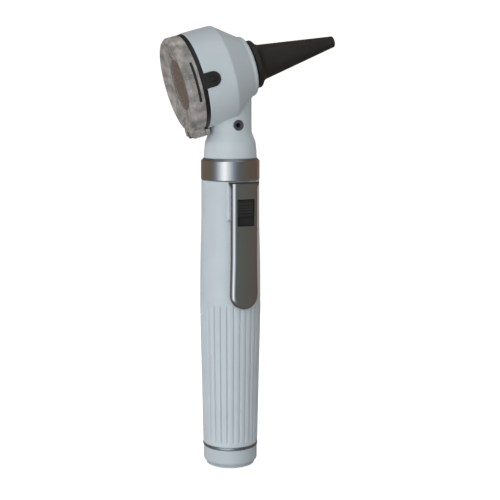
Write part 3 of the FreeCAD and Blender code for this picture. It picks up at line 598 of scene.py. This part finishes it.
def make_clip():
    """The section swept down one side, round the foot and up the other side, then pierced for the switch."""
    foot_z = CLIP_LOW + CLIP_HALF + CLIP_FLARE
    down = [(0.0, z, 0.0) for z in (CLIP_TOP, 108, 104, 100, 96, 92, 88, CLIP_STRAIGHT_TO)]
    for t in (k / 5 for k in range(1, 6)):
        down.append((0.0, CLIP_STRAIGHT_TO - (CLIP_STRAIGHT_TO - foot_z) * t, CLIP_FLARE * fade(t)))
    turn_steps = 36
    foot = [(math.pi * k / turn_steps, foot_z, CLIP_FLARE) for k in range(1, turn_steps)]
    up = [(math.pi, z, flare) for angle, z, flare in reversed(down)]
    bm = bmesh.new()
    rings = []
    for angle, z, flare in down + foot + up:
        outside = clip_section(0.0, flare)
        inside = clip_section(CLIP_SHEET, flare)
        skirt = [(outside[-1][0], CLIP_SKIRT_D + 0.1), (outside[-1][0] - 0.1, CLIP_SKIRT_D),
                 (inside[-1][0] + 0.1, CLIP_SKIRT_D), (inside[-1][0], CLIP_SKIRT_D + 0.1)]
        loop = outside + skirt + inside[::-1]
        rings.append([bm.verts.new((r * math.cos(angle) * MM, -d * MM, (z - r * math.sin(angle)) * MM))
                      for r, d in loop])
    for a, b in zip(rings, rings[1:]):
        for k in range(len(a) - 1):
            bm.faces.new((a[k], a[k + 1], b[k + 1], b[k]))
    bm.faces.new(rings[0])
    bm.faces.new(rings[-1])
    bmesh.ops.remove_doubles(bm, verts=bm.verts, dist=1e-7)
    bmesh.ops.dissolve_degenerate(bm, edges=bm.edges, dist=1e-7)
    clip = from_bmesh("clip", bm, AT_CLIP)
    carve(clip, box("wing_room", (-9, -12.7, CLIP_WALL_TOP), (9, 0, CLIP_TOP + 1), AT_CLIP))
    for side in (-1, 1):
        corner = lofted("corner", [((side * 7, -d, CLIP_TOP + 0.5), (side * 7, -d, CLIP_TOP - 1.1),
                                    (side * 4.6, -d, CLIP_TOP + 0.5)) for d in (12.0, 14.5)], AT_CLIP)
        carve(clip, corner)
    opening = [(-OPENING_HALF, OPENING_Z[0], 0.35), (OPENING_HALF, OPENING_Z[0], 0.35),
               (OPENING_HALF, OPENING_Z[1], 0.35), (-OPENING_HALF, OPENING_Z[1], 0.35)]
    carve(clip, slab("opening", opening, 12.0, 15.0, 0.01, AT_CLIP))
    grip_room = [(0, CLIP_LOW - 1), (CLIP_REST_R, CLIP_LOW - 1), (CLIP_REST_R, DIMPLE_Z), (0, DIMPLE_Z)]
    carve(clip, turned("grip_room", grip_room, AT_HANDLE, 160))
    dimple = softened([(0, -0.95), (1.6, -0.95, 0.4), (2.3, 0.0, 0.2), (2.3, 0.2), (0, 0.2)], 4)
    at_dimple = AT_CLIP @ Matrix.Translation((0, -12.8 * MM, DIMPLE_Z * MM)) @ FACING
    carve(clip, turned("dimple", dimple, at_dimple, 48), "UNION")
    dress(clip, CLIP_METAL, "clip", "pocket_clip", sharp=30)


def make_slider():
    """A plate that runs behind the clip, with a ribbed knob in the opening and a foot through the grip."""
    plate = [(-3.9, 94.7, 0.3), (3.9, 94.7, 0.3), (3.9, 106.1, 0.3), (-3.9, 106.1, 0.3)]
    slider = slab("slider", plate, PLATE_D, 12.4, 0.12, AT_CLIP)
    knob_low, knob_high, half = OPENING_Z[0] + 3.6, OPENING_Z[1] - 0.3, OPENING_HALF - 0.2
    knob = [(-half, knob_low, 0.3), (half, knob_low, 0.3), (half, knob_high, 0.3), (-half, knob_high, 0.3)]
    carve(slider, slab("knob", knob, 12.2, 13.5, 0.28, AT_CLIP), "UNION")
    grooves, pitch, width = 5, 1.05, 0.42
    for k in range(grooves):
        z = knob_low + 0.95 + pitch * k
        groove = [(-half - 1, z), (half + 1, z), (half + 1, z + width), (-half - 1, z + width)]
        carve(slider, slab("groove", groove, 13.22, 14.2, 0.08, AT_CLIP))
    carve(slider, box("foot", (-1.5, -12.0, 97.2), (1.5, -9.3, 103.7), AT_CLIP), "UNION")
    dress(slider, SWITCH, "switch", "switch_slider", sharp=30)


def make_bracket():
    """The small yoke under the collar: a tongue behind the clip and two wings that show beside it."""
    tongue = [(-3.8, 107.0, 0.3), (3.8, 107.0, 0.3), (3.8, 110.4), (-3.8, 110.4)]
    bracket = slab("bracket", tongue, PLATE_D, 12.47, 0.15, AT_CLIP)
    wings = [(-5.5, 109.6, 0.2), (5.5, 109.6, 0.2), (6.3, 111.6, 0.2), (-6.6, 111.6, 0.2)]
    carve(bracket, slab("wings", wings, PLATE_D, 12.5, 0.25, AT_CLIP), "UNION")
    # The bracket's dark colour is painted shade for the gap under the collar.
    dress(bracket, BRACKET_SHADE_METAL, "handle", "clip_bracket", "clip_rivets", sharp=30)


# Head -----------------------------------------------------------------------------------------
BARREL_LENGTH = 11.3
PIVOT_BLOCK_END = 0.3
NOSE_START = 20.45
NOSE_END = 22.2
NOSE_R = 11.45
FLANGE_BASE = 23.1
BEZEL_R = 17.95
LINER_R = 15.1               # bore of the black ring and of the lining behind it
EAR_PIN_S = 2.95
LUG_HALF = 4.2
LUG_END = -20.4
SIDES = ((-1, "far"), (1, "near"))


def make_housing():
    """Barrel, cone and nose collar on the viewing axis, joined to the neck, hollow, with its pockets."""
    barrel = densified(softened([
        (0, 0), (BARREL_R, 0, 0.35), (BARREL_R, BARREL_LENGTH, 1.8), (NOSE_R, NOSE_START, 1.3),
        (NOSE_R, NOSE_END, 1.2), (0, NOSE_END)], 10))
    housing = turned("housing", barrel, AT_HEAD, 192)
    base = RING_TOP + 0.02
    neck = densified(softened([
        (0, base), (10.1, base, 0.2), (10.0, 122.3, 3.0), (9.62, 126.0, 4.0), (8.1, 129.9, 4.0),
        (8.0, 146.0), (0, 146.0)], 8))
    carve(housing, turned("neck", neck, AT_HANDLE, 160), "UNION")
    inside = [(0, -1), (16.0, -1), (16.0, 10.7), (9.45, 19.0), (9.45, 25.0), (0, 25.0)]
    carve(housing, turned("inside", inside, AT_HEAD, 128))
    seal_seat, ferrule_seat = base + 0.42, RING_TOP + 1.42
    thread_end, lamp_seat = 127.02, 129.6
    channel = [
        (0, base - 1), (9.5, base - 1), (9.5, seal_seat), (9.0, seal_seat), (9.0, ferrule_seat),
        (7.32, ferrule_seat), (7.32, thread_end), (5.3, thread_end), (5.3, lamp_seat), (4.2, lamp_seat),
        (4.2, 147.0), (0, 147.0)]
    carve(housing, turned("channel", channel, AT_HANDLE, 96))
    for side, _ in SIDES:
        carve(housing, ear_piece("pocket", side, 17.55, 20.0, -1.0, 0.06))
    carve(housing, turned("port_hole", [(0, 2.0), (2.06, 2.0), (2.06, 14.0), (0, 14.0)], AT_PORT, 48))
    carve(housing, box("lug_seat", (-20.45, -4.25, -1.6), (-17.8, 4.25, PIVOT_BLOCK_END + 0.03), AT_HEAD))
    dress(housing, HEAD, "head", "head_housing", sharp=30)


def ear_piece(name, side, low_r, high_r, back, margin=0.0):
    """Round-ended ear that follows the barrel's curve, for the bezel or for the pocket that takes it."""
    half, length, steps = 2.75 + margin, 5.7 + margin, 20
    rim = [(-half, back), (-half, length - half)]
    rim += [(-half * math.cos(math.pi * k / steps), length - half + half * math.sin(math.pi * k / steps))
            for k in range(1, steps)]
    rim += [(half, length - half), (half, back)]

    def loop(radius, inset):
        points = []
        for across, along in rim:
            x = across * (1 - inset / half)
            s = along - (inset if along > length - half + 0.01 else 0)
            y = math.sqrt(radius**2 - x**2)
            points.append((x, side * y, s))
        return points

    soft = 0.16
    layers = [loop(low_r, 0), loop(high_r - soft, 0),
              loop(high_r - soft * 0.3, soft * 0.3), loop(high_r, soft)]
    return lofted(name, layers, AT_HEAD)


def make_bezel():
    """The black ring behind the barrel with its lining, its two ears and a round pin in each ear."""
    back, liner_out = -1.45, 15.97
    outline = softened([
        (LINER_R, back, 0.3), (BEZEL_R, back, 0.4), (BEZEL_R, -0.02, 0.12), (liner_out, -0.02),
        (liner_out, 9.8), (LINER_R, 9.8)], 6)
    bezel = turned("bezel", outline, AT_HEAD, 192)
    middle = AT_HEAD @ Matrix.Translation((0, 0, EAR_PIN_S * MM))
    at_pin = {side: middle @ Matrix.Rotation(-side * math.pi / 2, 4, "X") for side, _ in SIDES}
    for side, _ in SIDES:
        carve(bezel, ear_piece("ear", side, 17.3, 18.6, -1.3), "UNION")
        carve(bezel, turned("recess", [(0, 18.25), (1.05, 18.25), (1.05, 20), (0, 20)], at_pin[side], 40))
    dress(bezel, BLACK, "head", "retaining_ring", sharp=35)
    dome = softened([(0, 17.7), (0.95, 17.7), (0.95, 18.45, 0.2), (0, 18.62)])
    for side, label in SIDES:
        pin = turned("ear_pin_" + label, dome, at_pin[side], 40)
        dress(pin, BLACK, "head", *(("ring_pins",) if side == 1 else ()))


def make_nose():
    """The black insert: a cone that lines the head's nose, and the spigot that the speculum sits on."""
    spigot_end = 31.5
    outline = softened([
        (15.1, 10.4), (15.45, 10.9), (9.42, 18.9), (9.42, NOSE_END - 0.3, 0.1), (8.7, NOSE_END, 0.1),
        (8.7, FLANGE_BASE - 0.12, 0.1), (6.6, FLANGE_BASE - 0.1), (4.85, spigot_end, 0.2),
        (3.9, spigot_end, 0.15), (5.5, FLANGE_BASE - 1.2), (8.2, 18.4), (14.4, 10.4)])
    nose = turned("nose_carrier", densified(outline, closed=True), AT_HEAD, 128)
    carve(nose, turned("lamp_way", [(0, 129.0), (4.2, 129.0), (4.2, 142.5), (0, 142.5)], AT_HANDLE, 64))
    dress(nose, BLACK, "head", "nose_insert", sharp=30)


def make_speculum():
    """Flange, shoulder and long thin-walled funnel."""
    tip, tip_r, start, start_r = 57.9, 2.1, 27.7, 6.68
    slope = (start_r - tip_r) / (tip - start)
    outline = softened([
        (6.75, FLANGE_BASE), (9.1, FLANGE_BASE, 0.3), (9.1, 25.0, 0.5), (7.6, 26.1, 0.6), (7.0, 26.95, 0.6),
        (start_r, start, 0.8), (tip_r + slope, tip - 1.0, 0.3), (tip_r + 0.1, tip - 0.35, 0.15),
        (tip_r - 0.1, tip, 0.12), (tip_r - 0.45, tip, 0.12), (tip_r - 0.62, tip - 0.5), (4.95, 32.0)], 7)
    dress(turned("ear_speculum", outline, AT_HEAD, 128), FUNNEL, "speculum", "speculum", sharp=35)


def make_port():
    """The short socket in the neck, with a shallow ring groove in its face."""
    bore, out_r, base = 0.95, 2.05, 4.4
    outline = softened([
        (bore, base), (out_r, base), (out_r, 8.15, 0.18), (1.6, 8.2, 0.05), (1.55, 7.85, 0.05),
        (1.28, 7.85, 0.05), (1.2, 8.12, 0.08), (bore, 8.08, 0.08)], 4)
    dress(turned("air_port", outline, AT_PORT, 64), PORT, "head", "insufflation_port")


# Swivel window --------------------------------------------------------------------------------
WINDOW_FRONT = -7.2
WINDOW_BACK = -1.6
WINDOW_R = 17.9
LENS_SEAT_R = 9.62
AT_PIVOT = AT_HEAD @ Matrix.Translation((-PIVOT_DROP * MM, 0, 0))


def make_window():
    """The clear dished disc with its block-shaped lug, pierced for the pivot and grooved on both sides, with a
    dark strip laid in each groove as painted shade.
    """
    front, back, rim, seat = WINDOW_FRONT, WINDOW_BACK, WINDOW_R, LENS_SEAT_R
    outline = softened([
        (seat, back), (rim, back, 0.15), (rim, front + 1.3, 0.8), (rim - 1.1, front + 0.05, 0.6),
        (rim - 2.2, front + 0.05, 0.3), (rim - 2.7, front + 0.45, 0.2), (seat + 2.2, -5.7, 0.4),
        (seat + 1.5, -5.85, 0.25), (seat + 0.6, -5.6, 0.2), (seat, -5.45, 0.08)], 6)
    window = turned("window", outline, AT_HEAD, 192)
    lug_top = -16.6
    lug_outline = [(LUG_END, -LUG_HALF, 0.5), (lug_top, -LUG_HALF),
                   (lug_top, LUG_HALF), (LUG_END, LUG_HALF, 0.5)]
    lug = slab("lug", lug_outline, front + 0.03, back, 0.25, AT_HEAD, "z")
    slant = [((-22, y, front - 1), (-18.3, y, front - 1), (-22, y, front + 3.2)) for y in (-8, 8)]
    carve(lug, lofted("slant", slant, AT_HEAD))
    dish = [(0, -9), (15.7, -9), (15.7, front + 0.1), (13.0, front + 1), (13.0, 0), (0, 0)]
    carve(lug, turned("dish", dish, AT_HEAD, 128))
    carve(window, lug, "UNION")
    head_seat, bore = front + 0.95, 1.04
    pin_hole = [(0, -9), (1.55, -9), (1.55, head_seat), (bore, head_seat), (bore, 0), (0, 0)]
    carve(window, turned("pin_hole", pin_hole, AT_PIVOT, 48))
    groove = [(rim - 1.3, -3.75), (rim + 1, -3.8), (rim + 1, -2.7), (rim - 1.3, -2.75)]
    # A dark strip laid in each groove: painted shade, standing for the shadow in the groove's depth.
    lining = softened([
        (rim - 1.29, -3.74), (rim - 0.3, -3.78, 0.1), (rim - 0.3, -2.72, 0.1), (rim - 1.29, -2.76)], 4)
    for side, label in SIDES:
        carve(window, groove_part("groove", side, groove, -6.9, 7.7))
        dress(groove_part("groove_shade_strip_" + label, side, lining, -6.88, 7.68), RUBBER, "window")
    dress(window, CLEAR, "window", "window_frame", sharp=35)


def groove_part(name, side, outline, low, high):
    """One side's piece, between two heights, of a ring turned about the viewing axis."""
    part = turned(name, outline, AT_HEAD, 160)
    y_low, y_high = sorted((side * 4.0, side * 30.0))
    carve(part, box("part", (low, y_low, -5), (high, y_high, -1), AT_HEAD), "INTERSECT")
    return part


def make_pivot_screw():
    """The slotted screw that the window swings on."""
    face, end = WINDOW_FRONT + 0.12, 4.5
    outline = softened([
        (0, WINDOW_FRONT + 0.3), (0.5, face), (1.5, face, 0.2), (1.5, WINDOW_FRONT + 0.9),
        (1.0, WINDOW_FRONT + 0.9), (1.0, end), (0, end)], 4)
    screw = turned("pivot_pin", outline, AT_PIVOT, 48)
    carve(screw, box("slot", (-2, -0.2, WINDOW_FRONT - 1), (2, 0.2, WINDOW_FRONT + 0.45), AT_PIVOT))
    dress(screw, STEEL, "head", "pivot_screw")


def make_lens():
    """The lens, domed on both sides and a little more towards the head."""
    radius, steps = 9.6, 14
    shares = [k / steps for k in range(steps + 1)]
    front = [(radius * t, -5.36 - 0.8 * (1 - t**2)) for t in shares]
    back = [(radius * t, -2.9 + 0.92 * (1 - t**2)) for t in reversed(shares)]
    dress(turned("lens", front + back, AT_HEAD, 128), LENS, "window", "magnifier_lens", sharp=50)


def make_pivot_block():
    """The clear block between lug and neck that holds the pivot screw."""
    neck_side = -18.02
    outline = [(LUG_END, -LUG_HALF, 0.4), (neck_side, -LUG_HALF, 0.2),
               (neck_side, LUG_HALF, 0.2), (LUG_END, LUG_HALF, 0.4)]
    block = slab("pivot_base", outline, -1.4, PIVOT_BLOCK_END, 0.2, AT_HEAD, "z")
    carve(block, turned("neck_cut", [(0, 120), (6.85, 120), (6.85, 140), (0, 140)], AT_HANDLE, 96))
    dress(block, CLEAR, "head", "pivot_block", sharp=35)


# Stage ----------------------------------------------------------------------------------------
CAMERA_AZIMUTH = math.radians(-16.42)
CAMERA_DISTANCE = 0.420
CAMERA_HEIGHT = 0.1455
CAMERA_PITCH = math.radians(-8.28)
CAMERA_YAW = math.radians(-1.027)
SENSOR = 36.0
LENS_LENGTH = 79.12


def make_camera():
    data = bpy.data.cameras.new("camera")
    data.sensor_width = SENSOR
    data.lens = LENS_LENGTH
    camera = in_scene("camera", data)
    place = Vector((math.sin(CAMERA_AZIMUTH) * CAMERA_DISTANCE, -math.cos(CAMERA_AZIMUTH) * CAMERA_DISTANCE,
                    CAMERA_HEIGHT))
    turn = Matrix.Rotation(CAMERA_AZIMUTH, 4, "Z") @ Matrix.Rotation(math.pi / 2 + CAMERA_PITCH, 4, "X")
    camera.matrix_world = Matrix.Translation(place) @ turn @ Matrix.Rotation(CAMERA_YAW, 4, "Y")
    bpy.context.scene.camera = camera


def make_floor():
    """A round pale floor, low enough to leave room for the cap when it is unscrewed."""
    drop = JOINTS["cap_unscrew_travel"]["range_m"][1] + 0.5 * MM
    bm = bmesh.new()
    bmesh.ops.create_circle(bm, cap_ends=True, segments=96, radius=0.32)
    floor = from_bmesh("floor", bm, Matrix.Translation((0, 0, -drop)))
    look = Look("floor_paint")
    paint = look.mix(look.ramp(look.noise(30.0), 0.3, 0.7), (0.93, 0.93, 0.93), (0.90, 0.90, 0.90))
    look.set(Base_Color=paint, Roughness=0.9, Specular_IOR_Level=0.1,
             Emission_Color=(1.0, 1.0, 1.0), Emission_Strength=0.70)
    floor.data.materials.append(look.material)
    floor.visible_glossy = False
    floor.visible_diffuse = False
    floor.visible_shadow = False


# What metal and glass mirror, as a colour for each azimuth in degrees from -Y towards +X: one bright
# patch to the left of the camera, in a dim warm room.
ROOM = (
    (-180, (0.17, 0.14, 0.115)), (-150, (0.14, 0.11, 0.09)), (-100, (0.13, 0.115, 0.09)),
    (-86, (0.14, 0.14, 0.135)), (-75, (0.21, 0.225, 0.26)), (-66, (0.385, 0.42, 0.465)),
    (-50, (0.78, 0.83, 0.88)), (-41, (1.02, 1.02, 1.08)), (-33, (0.98, 0.97, 1.02)),
    (-25, (0.70, 0.74, 0.77)), (-18, (0.53, 0.60, 0.63)), (-10, (0.36, 0.41, 0.47)),
    (-2, (0.225, 0.25, 0.29)), (6, (0.16, 0.185, 0.20)), (14, (0.11, 0.13, 0.125)),
    (27, (0.10, 0.11, 0.10)), (40, (0.107, 0.096, 0.083)), (68, (0.11, 0.083, 0.066)),
    (110, (0.107, 0.078, 0.062)), (150, (0.27, 0.21, 0.16)), (180, (0.17, 0.14, 0.115)))
CEILING_BACK = (0.13, 0.12, 0.11)
CEILING_FRONT = (0.62, 0.66, 0.70)
GROUND = (0.10, 0.09, 0.08)


def make_world():
    """Plain white where the camera sees it. Everything else is lit by the dim room."""
    world = bpy.data.worlds.new("studio")
    bpy.context.scene.world = world
    world.use_nodes = True
    sky = Nodes(world.node_tree)
    sky.tree.nodes.clear()
    direction = sky.add("ShaderNodeTexCoord").outputs["Generated"]
    parts = sky.add("ShaderNodeSeparateXYZ")
    sky.link(direction, parts.inputs[0])
    minus_y = sky.add("ShaderNodeMath", operation="MULTIPLY")
    minus_y.inputs[1].default_value = -1.0
    sky.link(parts.outputs["Y"], minus_y.inputs[0])
    azimuth = sky.add("ShaderNodeMath", operation="ARCTAN2")
    sky.link(parts.outputs["X"], azimuth.inputs[0])
    sky.link(minus_y.outputs[0], azimuth.inputs[1])
    walls = sky.add("ShaderNodeValToRGB")
    sky.link(sky.ramp(azimuth.outputs[0], -math.pi, math.pi), walls.inputs["Fac"])
    stops = walls.color_ramp.elements
    while len(stops) < len(ROOM):
        stops.new(0.5)
    for stop, (degrees, colour) in zip(stops, ROOM):
        stop.position = (degrees + 180) / 360
        stop.color = (*colour, 1.0)

    front = sky.add("ShaderNodeVectorMath", operation="DOT_PRODUCT")
    front.inputs[1].default_value = (math.sin(CAMERA_AZIMUTH), -math.cos(CAMERA_AZIMUTH), 0)
    sky.link(direction, front.inputs[0])
    height = parts.outputs["Z"]
    in_front = sky.ramp(front.outputs["Value"], -0.15, 0.12, smooth=True)
    ceiling = sky.mix(in_front, CEILING_BACK, CEILING_FRONT)
    colour = sky.mix(sky.ramp(height, 0.80, 0.97, smooth=True), walls.outputs["Color"], ceiling)
    colour = sky.mix(sky.ramp(height, -0.35, -0.70, smooth=True), colour, GROUND)
    room_light = sky.add("ShaderNodeBackground")
    sky.link(colour, room_light.inputs["Color"])
    white = sky.add("ShaderNodeBackground", Color=(1, 1, 1, 1), Strength=1.05)
    choose = sky.add("ShaderNodeMixShader")
    sky.link(sky.add("ShaderNodeLightPath").outputs["Is Camera Ray"], choose.inputs["Fac"])
    sky.link(room_light.outputs[0], choose.inputs[1])
    sky.link(white.outputs[0], choose.inputs[2])
    sky.link(choose.outputs[0], sky.add("ShaderNodeOutputWorld").inputs["Surface"])


def area_light(name, azimuth, elevation, width, height, power, colour=(1, 1, 1), distance=1.0, aim=0.09):
    """A soft lamp that points at the handle's axis, at the height aim, and isn't mirrored by anything."""
    data = bpy.data.lights.new(name, "AREA")
    data.shape = "RECTANGLE"
    data.size, data.size_y = width, height
    data.energy = power
    data.color = colour
    lamp = in_scene(name, data)
    a, e = math.radians(azimuth), math.radians(elevation)
    back = Vector((math.sin(a) * math.cos(e), -math.cos(a) * math.cos(e), math.sin(e)))
    lamp.location = Vector((0, 0, aim)) + back * distance
    lamp.rotation_mode = "QUATERNION"
    lamp.rotation_quaternion = (-back).to_track_quat("-Z", "Y")
    lamp.visible_glossy = False
    lamp.visible_transmission = False


WARM = (1.0, 0.98, 0.98)
COOL = (0.98, 0.98, 1.0)


def make_lights():
    area_light("key", -34, 24, 0.7, 0.9, 3.2, WARM)
    area_light("front", 40, 0, 0.9, 0.9, 3.3, COOL)
    area_light("left", -85, 5, 0.8, 0.9, 1.7, COOL)
    area_light("under", -30, -50, 0.8, 0.8, 1.8, COOL)
    area_light("top", 0, 80, 1.0, 1.0, 1.0)
    area_light("head_fill", -72, -28, 0.15, 0.15, 0.15, distance=0.32, aim=0.14)
    area_light("back_left", -140, 15, 0.7, 0.7, 3.0)
    area_light("back_right", 130, 15, 0.7, 0.7, 2.6)


paint_frame()
make_grip()
make_cap()
make_tube()
make_collar()
make_clip()
make_slider()
make_bracket()
make_housing()
make_bezel()
make_nose()
make_speculum()
make_port()
make_window()
make_pivot_screw()
make_lens()
make_pivot_block()
make_camera()
make_floor()
make_world()
make_lights()
bpy.context.scene.view_settings.view_transform = "Standard"
